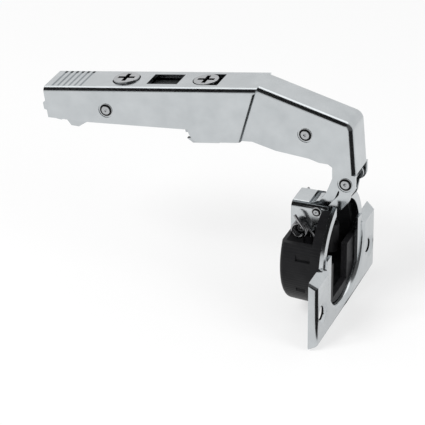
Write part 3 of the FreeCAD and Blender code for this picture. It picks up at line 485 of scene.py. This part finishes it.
def turned_piece(node, head, gap, dimple, dimple_depth, collar_rise):
    """Two mirrored heads on a shank; outer radius, shank, length and place are the frame piece's.

    Vertices farther out than RIM_SHARE of its widest radius are its rim, the others its shank. The
    gap is GAP_DEPTH times as deep as the collar is high.
    """
    spots = corners(node)
    middle = (spots.min(0) + spots.max(0)) / 2
    reach = spots[:, 1].max()
    across = np.hypot(spots[:, 0] - middle[0], spots[:, 2] - middle[2])
    wide = across.max()
    shank = across[across < wide * RIM_SHARE].max()
    under = np.abs(spots[across > wide * RIM_SHARE][:, 1]).min()
    gap_floor = reach - GAP_DEPTH * collar_rise

    half = turned_head(under + collar_rise, reach, head, head + gap, gap_floor, dimple, dimple_depth)
    gap_row = half.index((head, gap_floor))
    half += [(wide, under + collar_rise), (wide, under), (shank, under)]
    profile = half + [(r, -y) for r, y in reversed(half)]
    made, faces, rows = lathe((middle[0], middle[2]), profile)
    last_row = len(profile) - 2
    # Faces of the gap's wall and floor, which get painted shade.
    dark = np.isin(rows, (gap_row, gap_row + 1, last_row - gap_row, last_row - gap_row - 1))
    print(node, "shank radius", round(shank / MM, 2), "mm, faces", len(faces))
    return new_piece(node + "_turned", made, faces, node, [finish_of(node), PAINTED_GAP_SHADE], dark)


TURNED = {}
for name in ("rear_rivet", "arm_rivet", "nose_rivet"):
    TURNED[name] = turned_piece(name, head=1.42 * MM, gap=0.5 * MM, dimple=0.5 * MM,
                                dimple_depth=0.3 * MM, collar_rise=0.16 * MM)
for name in ("upper_pin", "lower_pin"):
    TURNED[name] = turned_piece(name, head=0.95 * MM, gap=0.34 * MM, dimple=0.25 * MM,
                                dimple_depth=0.12 * MM, collar_rise=0.2 * MM)

# %% [markdown]
# Closing springs
#
# A torsion spring is one wire: a straight leg, some turns round the pin and
# another straight leg. Two cylinders and a Screw modifier could stand for
# it, but they would show a joint where a leg leaves the coil. So it is made
# as one tube along one path. The rings of the tube turn with the path without
# twisting, because each ring takes its first direction from the ring before.

# %% Sizes of the spring, as the frame's springs have them
PIN_X, _, PIN_Z = JOINTS["cup_fold"]["pos_m"]
WIRE, COIL, PITCH, TURNS = 0.5 * MM, 2.1 * MM, 1.15 * MM, 2
LEG_IN, LEG_OUT, LEG_TURN, FIRST_Y = 7.0 * MM, 5.0 * MM, math.radians(35), 6.5 * MM
STEPS_PER_TURN = 48
WIRE_STEPS = 20


def spring_path(side):
    """Leg, helix (R cos t, -pitch t / 2 pi, R sin t) and leg, turned about Y and moved to the pin.

    On the other side the same spring is turned end for end, so its coil runs outwards there too.
    """
    turn = np.linspace(0, 2 * math.pi * TURNS, STEPS_PER_TURN * TURNS + 1)
    helix = np.stack((COIL * np.cos(turn), -PITCH * turn / (2 * math.pi), COIL * np.sin(turn)), 1)
    lead = np.array([(COIL, 0.0, -LEG_IN), (COIL, 0.0, -LEG_IN / 2), (COIL, 0.0, -LEG_IN / 20)])
    tail = np.array([(COIL, 0.0, LEG_OUT / 20), (COIL, 0.0, LEG_OUT / 2), (COIL, 0.0, LEG_OUT)])
    tail[:, 1] = helix[-1, 1]
    path = np.vstack((lead, helix, tail))
    if side > 0:
        path[:, :2] *= -1
    angle = -LEG_TURN if side < 0 else math.pi - LEG_TURN
    turned = path.copy()
    turned[:, 0] = path[:, 0] * math.cos(angle) + path[:, 2] * math.sin(angle)
    turned[:, 2] = path[:, 2] * math.cos(angle) - path[:, 0] * math.sin(angle)
    return turned + np.array((PIN_X, side * FIRST_Y, PIN_Z))


# %% Wind the wire
def tube(path, radius):
    """Ring i = path_i + radius (cos t a_i + sin t b_i), with a_i and b_i square to the path.

    a_i is the direction before it less its part along the path, and b_i is square to both.
    """
    way = np.gradient(path, axis=0)
    way /= np.linalg.norm(way, axis=1, keepdims=True)
    turn = np.linspace(0, 2 * math.pi, WIRE_STEPS, endpoint=False)[:, None]
    first = np.cross(way[0], (0.0, 1.0, 0.0))
    rings = []
    for spot, ahead in zip(path, way):
        first = first - ahead * first.dot(ahead)
        first /= np.linalg.norm(first)
        rings.append(spot + radius * (np.cos(turn) * first + np.sin(turn) * np.cross(ahead, first)))
    return np.vstack(rings + [path[:1], path[-1:]]), skin(len(path), WIRE_STEPS)


SPRINGS = {}
for name, side in (("closing_spring_left", -1), ("closing_spring_right", 1)):
    spots, faces = tube(spring_path(side), WIRE)
    SPRINGS[name] = new_piece(name + "_wound", spots, faces, name, [finish_of(name)])
    print(name, "faces", len(faces))

# %% [markdown]
# Folded and moulded pieces
#
# Each piece of the frame comes as loose triangles. It could be shown as it
# is, but stamped and moulded parts have no knife edges, and only a broken
# edge shows the bright line by which the eye reads metal. So a copy is
# merged, its flat faces are joined, and a bevel of a tenth or two of a
# millimetre breaks its edges. Weighted normals keep the flat faces flat.

# %% Merge a copy of a frame piece
MERGE_WITHIN = 0.002 * MM
FLAT_WITHIN = math.radians(0.4)


def merged_copy(node):
    """Copy of a frame piece's mesh: near vertices become one, and faces in one plane are joined."""
    mesh = NODES[node].data.copy()
    mesh.name = node + "_finished"
    work = bmesh.new()
    work.from_mesh(mesh)
    bmesh.ops.remove_doubles(work, verts=work.verts, dist=MERGE_WITHIN)
    bmesh.ops.dissolve_limit(work, angle_limit=FLAT_WITHIN, verts=work.verts, edges=work.edges)
    work.to_mesh(mesh)
    work.free()
    return mesh


# %% [markdown]
# Wide rounding
#
# Some edges are far rounder than a cut edge. The wings of the flange are
# drawn from sheet, and the arm steps inwards at its joggle. One bevel for the
# whole piece can't tell them apart, so a second bevel reads a weight on each
# edge, and a test on the edge's two ends gives that weight.

# %% Wide rounding of chosen edges
ROUND_FROM = math.radians(30)


def round_edges(piece, chosen, radius):
    """Bevel weight 1 on each edge that is sharper than ROUND_FROM and passes the test of its ends."""
    mesh = piece.data
    work = bmesh.new()
    work.from_mesh(mesh)
    weights = np.zeros(len(work.edges), np.float32)
    for number, edge in enumerate(work.edges):
        if len(edge.link_faces) == 2 and edge.calc_face_angle(0.0) > ROUND_FROM:
            weights[number] = chosen(np.array([tuple(end.co) for end in edge.verts]))
    work.free()
    mesh.attributes.new("bevel_weight_edge", "FLOAT", "EDGE").data.foreach_set("value", weights)
    bevel = piece.modifiers.new("Wide rounding", "BEVEL")
    bevel.width = radius
    bevel.segments = 5
    bevel.limit_method = "WEIGHT"
    bevel.use_clamp_overlap = False
    bevel.harden_normals = True
    print(piece.name, "widely rounded edges:", int(weights.sum()))


# %% Finish a copy
BREAK_FROM = math.radians(28)
FACE_WEIGHT = 80


def finished_copy(node, edge=0.12 * MM, soft=None, soft_radius=0.0, dark=None):
    """Merged copy with broken edges; soft picks the widely rounded edges, dark the faces with painted shade.
    """
    mesh = merged_copy(node)
    mesh.materials.clear()
    mesh.materials.append(finish_of(node))
    # Faces that dark picks get the near-black material that paints shade.
    if dark is not None:
        mesh.materials.append(PAINTED_GAP_SHADE)
        shaded = dark(rows_of(mesh.polygons, "center"), rows_of(mesh.polygons, "normal"))
        mesh.polygons.foreach_set("material_index", shaded.astype(np.int32))
    mesh.shade_smooth()
    piece = put_in_scene(node + "_finished", mesh)
    if soft is not None:
        round_edges(piece, soft, soft_radius)
    bevel = piece.modifiers.new("Broken edges", "BEVEL")
    bevel.width = edge
    bevel.segments = 2
    bevel.limit_method = "ANGLE"
    bevel.angle_limit = BREAK_FROM
    bevel.harden_normals = True
    level_out = piece.modifiers.new("Flat faces stay flat", "WEIGHTED_NORMAL")
    level_out.mode = "FACE_AREA"
    level_out.weight = FACE_WEIGHT
    level_out.keep_sharp = True
    tie(piece, node)
    return piece


# %% [markdown]
# The joggle
#
# The joggle is the short slope between the wide rear and the narrow nose of
# the arm. A press leaves it with a soft outer edge, which shows as one dark
# upright line. Its edges could be picked by number, but numbers change with
# the model. So the test asks where an edge lies: on a side of the wide part
# and near the slope.

# %% Edges of the joggle
ARM_HALF = corners("hinge_arm")[:, 1].max()
ON_SIDE_WITHIN = 0.02 * MM
JOGGLE_ZONE = (-36 * MM, -22 * MM)


def joggle_edge(ends):
    """Both ends lie on a side of the wide part and between the two places of JOGGLE_ZONE."""
    on_side = np.abs(np.abs(ends[:, 1]) - ARM_HALF) < ON_SIDE_WITHIN
    return (on_side & (ends[:, 0] > JOGGLE_ZONE[0]) & (ends[:, 0] < JOGGLE_ZONE[1])).all()


# %% [markdown]
# Wings and screw holes
#
# The wings of the flange are raised pads, drawn from the sheet. Their edges
# are round, while the rim of the mouth between them is cut and stays crisp.
# The distance from the cup's axis tells the two apart. The walls of the screw
# holes lie in shade, so shade is painted on them in near black.

# %% Edges of the wings and walls of the screw holes
WING_HALF = corners("cup_flange")[:, 1].max()
WING_END = 1.8 * MM
WING_FRONT = 2.3 * MM
MOUTH_EDGE = 18.6 * MM
HOLES = next(mount for mount in frame["record"]["mounts"] if mount["name"] == "screw_holes")
HOLE_Y, HOLE_Z = HOLES["dims"]["spacing_x_mm"] / 2 * MM, HOLES["pos_m"][2]
HOLE_RADIUS = HOLES["dims"]["hole_r_mm"] * MM
HOLE_WALL = (HOLE_RADIUS - 0.4 * MM, HOLE_RADIUS + 0.1 * MM)
LOOKS_ACROSS = 0.3


def wing_edge(ends):
    """The edges round the front of the wings outside the mouth, and those that run back from it."""
    front = (ends[:, 0] > WING_FRONT) & (np.hypot(ends[:, 1], ends[:, 2]) > MOUTH_EDGE)
    at_end = np.abs(ends[:, 1]) > WING_HALF - WING_END
    return front.all() or (at_end.all() and ends[:, 0].max() > WING_FRONT)


def hole_wall(spots, ways):
    """Faces round the two screw holes whose normals have only a small part along X."""
    # These faces get painted shade.
    out = np.hypot(np.abs(spots[:, 1]) - HOLE_Y, spots[:, 2] - HOLE_Z)
    return (out > HOLE_WALL[0]) & (out < HOLE_WALL[1]) & (np.abs(ways[:, 0]) < LOOKS_ACROSS)


# %% [markdown]
# Cross recesses
#
# Each adjusting screw has a cross recess, formed cold by a punch. It is deep
# and narrow and gets hardly any light, so in the photograph the cross is
# black. The cross could be painted on, but then it would stay flat from the
# side. The recess is there in the frame, and shade is painted on its faces in
# near black.

# %% Faces of a cross recess
UP = np.array(Vector(JOINTS["side_screw_turn"]["axis"]).normalized())
CROSS_REACH = 2.75 * MM
RECESS_FROM, RECESS_TO = 0.2 * MM, 2.0 * MM


def recess(node):
    """A test for the faces of a screw's cross: a little below its top and near its axis."""
    # The faces that pass this test get painted shade.
    spots_of_screw = corners(node)
    top = (spots_of_screw @ UP).max()
    middle = (spots_of_screw.max(0) + spots_of_screw.min(0)) / 2

    def inside(spots, ways):
        """Faces sunk between RECESS_FROM and RECESS_TO, and no farther out than the cross."""
        depth = top - spots @ UP
        flat = spots - middle
        out = np.linalg.norm(flat - np.outer(flat @ UP, UP), axis=1)
        return (depth > RECESS_FROM) & (depth < RECESS_TO) & (out < CROSS_REACH)
    return inside


# %% Finish every piece that is still bare
# The dark entries pick faces that get painted shade.
OWN_FORM = {
    "cup_flange": {"edge": 0.2 * MM, "soft": wing_edge, "soft_radius": 1.0 * MM, "dark": hole_wall},
    "hinge_arm": {"soft": joggle_edge, "soft_radius": 1.1 * MM},
    "clip_lever": {"edge": 0.2 * MM},
    "cup_body": {"edge": 0.25 * MM},
    "depth_screw": {"dark": recess("depth_screw")},
    "side_screw": {"dark": recess("side_screw")},
}
COPIES = {name: finished_copy(name, **OWN_FORM.get(name, {}))
          for name in NODES if name not in TURNED and name not in SPRINGS}
print("finished pieces:", len(COPIES) + len(TURNED) + len(SPRINGS))

# %% [markdown]
# What the metal mirrors
#
# Bright metal shows its surroundings far more than the light that falls on
# it. In the photograph flat faces are pale, and each long bend shows a dark
# line with a bright one beside it. Cards and lamps round the hinge could give
# that, as in a photographer's studio, but they would also shade the plastic
# and the floor. So the dark parts are in the world and in the floor's
# material, and only mirrored rays see them.
#
# The side that is dark is a sector about DARK_WAY. It is the same for the
# world and the floor, so that the dark line runs on round the corner of the
# arm and down its front bend.

# %% The dark side: a sector of level directions
DARK_WAY = (math.cos(math.radians(-27)), math.sin(math.radians(-27)), 0.0)
DARK_SPREAD = (0.67, 0.75)


def level_part(tree, vector):
    """The vector with its upright part taken away."""
    return add(tree, "ShaderNodeVectorMath", {0: vector, 1: (1.0, 1.0, 0.0)},
               operation="MULTIPLY").outputs[0]


def smooth_step(tree, value, low, high):
    """0 below low, 1 above high, and a smooth rise between them."""
    return add(tree, "ShaderNodeMapRange", {"Value": value, "From Min": low, "From Max": high},
               interpolation_type="SMOOTHSTEP").outputs["Result"]


def sector(tree, level):
    """1 where a level vector points within some 45 degrees of DARK_WAY, else 0."""
    way = add(tree, "ShaderNodeVectorMath", {0: level}, operation="NORMALIZE")
    facing = add(tree, "ShaderNodeVectorMath", {0: way.outputs[0], 1: DARK_WAY},
                 operation="DOT_PRODUCT")
    return smooth_step(tree, facing.outputs["Value"], *DARK_SPREAD)


# %% [markdown]
# Floor
#
# The photograph has a plain white ground. A bright lamp on a white floor would
# give it, but it would bleach the metal too. So the floor is a plain pale
# surface for the light, and camera rays and mirrored rays see it mixed with
# an even white glow. A faint shadow stays, so the hinge doesn't float.
# Mirrored rays also see the dark sector, from a corner beside the cup.

# %% The floor's finish
FLOOR_GLOW = 0.6
FLOOR_COLOUR = (0.93, 0.93, 0.93, 1.0)
FLOOR_DARK = (0.02, 0.02, 0.02, 1.0)
WHITE_COLOUR = (1.0, 1.0, 1.0, 1.0)
DARK_CORNER = (6 * MM, -16 * MM)
DARK_START = (4 * MM, 11 * MM)


def make_floor_finish():
    """Diffuse floor, mixed with a white glow for seen rays and with the dark sector for mirrored ones."""
    material = bpy.data.materials.new("Pale floor")
    material.use_nodes = True
    tree = material.node_tree
    tree.nodes.clear()
    lit = add(tree, "ShaderNodeBsdfDiffuse", {"Color": FLOOR_COLOUR})
    glow = add(tree, "ShaderNodeEmission", {"Color": WHITE_COLOUR, "Strength": 1.0})
    black = add(tree, "ShaderNodeEmission", {"Color": FLOOR_DARK, "Strength": 1.0})
    path = add(tree, "ShaderNodeLightPath")
    seen = add(tree, "ShaderNodeMath", {
        0: path.outputs["Is Camera Ray"], 1: path.outputs["Is Glossy Ray"]}, operation="MAXIMUM")
    share = add(tree, "ShaderNodeMath", {0: seen.outputs[0], 1: FLOOR_GLOW}, operation="MULTIPLY")
    mixed = add(tree, "ShaderNodeMixShader", {0: share.outputs[0], 1: lit.outputs[0], 2: glow.outputs[0]})

    place = add(tree, "ShaderNodeTexCoord")
    away = add(tree, "ShaderNodeVectorMath", {
        0: place.outputs["Object"], 1: (*DARK_CORNER, 0.0)}, operation="SUBTRACT")
    level = level_part(tree, away.outputs[0])
    reach = add(tree, "ShaderNodeVectorMath", {0: level}, operation="LENGTH")
    begun = smooth_step(tree, reach.outputs["Value"], *DARK_START)
    inside = add(tree, "ShaderNodeMath", {0: sector(tree, level), 1: begun}, operation="MULTIPLY")
    shaded = add(tree, "ShaderNodeMath", {
        0: inside.outputs[0], 1: path.outputs["Is Glossy Ray"]}, operation="MULTIPLY")
    final = add(tree, "ShaderNodeMixShader", {0: shaded.outputs[0], 1: mixed.outputs[0], 2: black.outputs[0]})
    add(tree, "ShaderNodeOutputMaterial", {"Surface": final.outputs[0]})
    return material


# %% The floor itself
FLOOR_SIZE = 3.0
FLOOR_GAP = 0.3 * MM


def make_floor():
    """A square of floor just below the lowest point of the hinge."""
    half = FLOOR_SIZE / 2
    level = CAD_BOX[0][2] - FLOOR_GAP
    mesh = bpy.data.meshes.new("floor")
    mesh.from_pydata([(-half, -half, level), (half, -half, level), (half, half, level),
                      (-half, half, level)], [], [(0, 1, 2, 3)])
    mesh.materials.append(make_floor_finish())
    floor = put_in_scene("floor", mesh)
    return floor


FLOOR = make_floor()
print("floor at", round(FLOOR.data.vertices[0].co.z / MM, 2), "mm")

# %% [markdown]
# Surroundings
#
# An image of a studio could wrap the scene. Two cones and the sector do the
# same with a few numbers, and each of them can be moved by itself. The flat
# top of the arm mirrors the pale room outside them and stays pale, while the
# bend next to it turns through them and shows a dark line with a white one
# above. In the world the sector is only dimmed, so that the hinge isn't black
# from behind.

# %% Cones of directions
DARK_AXIS = (-0.20, -0.49, 0.80)
DARK_EDGE = (0.735, 0.79)
WHITE_AXIS = (-0.15, 0.30, 0.94)
WHITE_EDGE = (0.80, 0.87)


def cone(tree, vector, axis, edge):
    """1 where a direction lies inside a cone about the axis, 0 outside, by the cosine's edge."""
    facing = add(tree, "ShaderNodeVectorMath", {0: vector, 1: tuple(Vector(axis).normalized())},
                 operation="DOT_PRODUCT")
    return smooth_step(tree, facing.outputs["Value"], *edge)


# %% The world
ROOM, WHITE, DARK, DIM = 0.92, 1.7, 0.01, 0.12
PLAIN = 0.55


def make_world():
    """Room, cones and dim sector for mirrored rays, white for seen rays, plain light for the rest."""
    world = bpy.data.worlds.new("Studio")
    bpy.context.scene.world = world
    world.use_nodes = True
    tree = world.node_tree
    tree.nodes.clear()
    way = add(tree, "ShaderNodeTexCoord").outputs["Generated"]
    lit = add(tree, "ShaderNodeMix", {
        "Factor": cone(tree, way, WHITE_AXIS, WHITE_EDGE), "A": ROOM, "B": WHITE})
    dimmed = add(tree, "ShaderNodeMix", {
        "Factor": sector(tree, level_part(tree, way)), "A": lit.outputs[0], "B": DIM})
    strength = add(tree, "ShaderNodeMix", {
        "Factor": cone(tree, way, DARK_AXIS, DARK_EDGE), "A": dimmed.outputs[0], "B": DARK})
    mirrored = add(tree, "ShaderNodeBackground", {"Color": WHITE_COLOUR, "Strength": strength.outputs[0]})
    plain = add(tree, "ShaderNodeBackground", {"Color": WHITE_COLOUR, "Strength": PLAIN})
    white = add(tree, "ShaderNodeBackground", {"Color": WHITE_COLOUR, "Strength": 1.0})
    path = add(tree, "ShaderNodeLightPath")
    first = add(tree, "ShaderNodeMixShader", {
        0: path.outputs["Is Glossy Ray"], 1: plain.outputs[0], 2: mirrored.outputs[0]})
    second = add(tree, "ShaderNodeMixShader", {
        0: path.outputs["Is Camera Ray"], 1: first.outputs[0], 2: white.outputs[0]})
    add(tree, "ShaderNodeOutputWorld", {"Surface": second.outputs[0]})


make_world()

# %% [markdown]
# Lamps
#
# Two soft boxes light the plastic and cast the faint shadow. One lamp would
# leave one side of the cup in the dark, and small lamps would throw hard
# shadows. Mirrored rays don't see them, because the world already holds what
# the metal mirrors.

# %% Lamps
MIDDLE = (Vector(CAD_BOX[0]) + Vector(CAD_BOX[1])) / 2


def soft_box(name, place, width, height, watts):
    """A rectangular area lamp at a place, turned to look at the hinge's middle, in metres."""
    lamp = bpy.data.lights.new(name, "AREA")
    lamp.shape = "RECTANGLE"
    lamp.size = width
    lamp.size_y = height
    lamp.energy = watts
    holder = put_in_scene(name, lamp)
    holder.location = place
    holder.visible_glossy = False
    holder.rotation_euler = (MIDDLE - Vector(place)).to_track_quat("-Z", "Y").to_euler()


soft_box("Key soft box", place=(-0.5, -0.7, 0.9), width=0.6, height=0.4, watts=9.0)
soft_box("Fill soft box", place=(0.9, -0.3, 0.5), width=0.5, height=0.5, watts=4.0)

# %% [markdown]
# Camera
#
# The camera repeats the photograph's framing. Set by eye, it would put no
# edge exactly where the photograph has it. So its place was solved from edges
# that are parallel or round on the real hinge. It is written as two angles
# and a roll, a distance, and how far the picture's middle lies from the nose
# rivet. The lens follows from the focal length in pixels.

# %% Camera
AZIMUTH = math.radians(21.63)
ELEVATION = math.radians(28.06)
ROLL = math.radians(-0.62)
DISTANCE = 700.94 * MM
SIDE_SHIFT = 41.76 * MM
UP_SHIFT = 10.85 * MM
NOSE_RIVET = Vector(JOINTS["outer_link_swing"]["pos_m"])
PHOTO_SIDE = 425
FOCAL_IN_PIXELS = 2334.99
SENSOR = 36.0


def make_camera():
    """Camera axes from azimuth, elevation and roll; its place is the nose rivet seen backwards."""
    back = Vector((math.sin(AZIMUTH) * math.cos(ELEVATION), -math.cos(AZIMUTH) * math.cos(ELEVATION),
                   math.sin(ELEVATION)))
    right = Vector((math.cos(AZIMUTH), math.sin(AZIMUTH), 0.0))
    up = back.cross(right)
    turned_right = math.cos(ROLL) * right + math.sin(ROLL) * up
    turned_up = math.cos(ROLL) * up - math.sin(ROLL) * right
    place = NOSE_RIVET - SIDE_SHIFT * turned_right - UP_SHIFT * turned_up + DISTANCE * back
    data = bpy.data.cameras.new("Photo camera")
    data.sensor_width = SENSOR
    data.sensor_fit = "HORIZONTAL"
    data.lens = FOCAL_IN_PIXELS / PHOTO_SIDE * SENSOR
    camera = put_in_scene("Photo camera", data)
    axes = Matrix((turned_right, turned_up, back)).transposed()
    camera.matrix_world = Matrix.Translation(place) @ axes.to_4x4()
    bpy.context.scene.camera = camera
    print("lens:", round(data.lens, 1), "mm")


make_camera()
bpy.context.scene.view_settings.view_transform = "Standard"
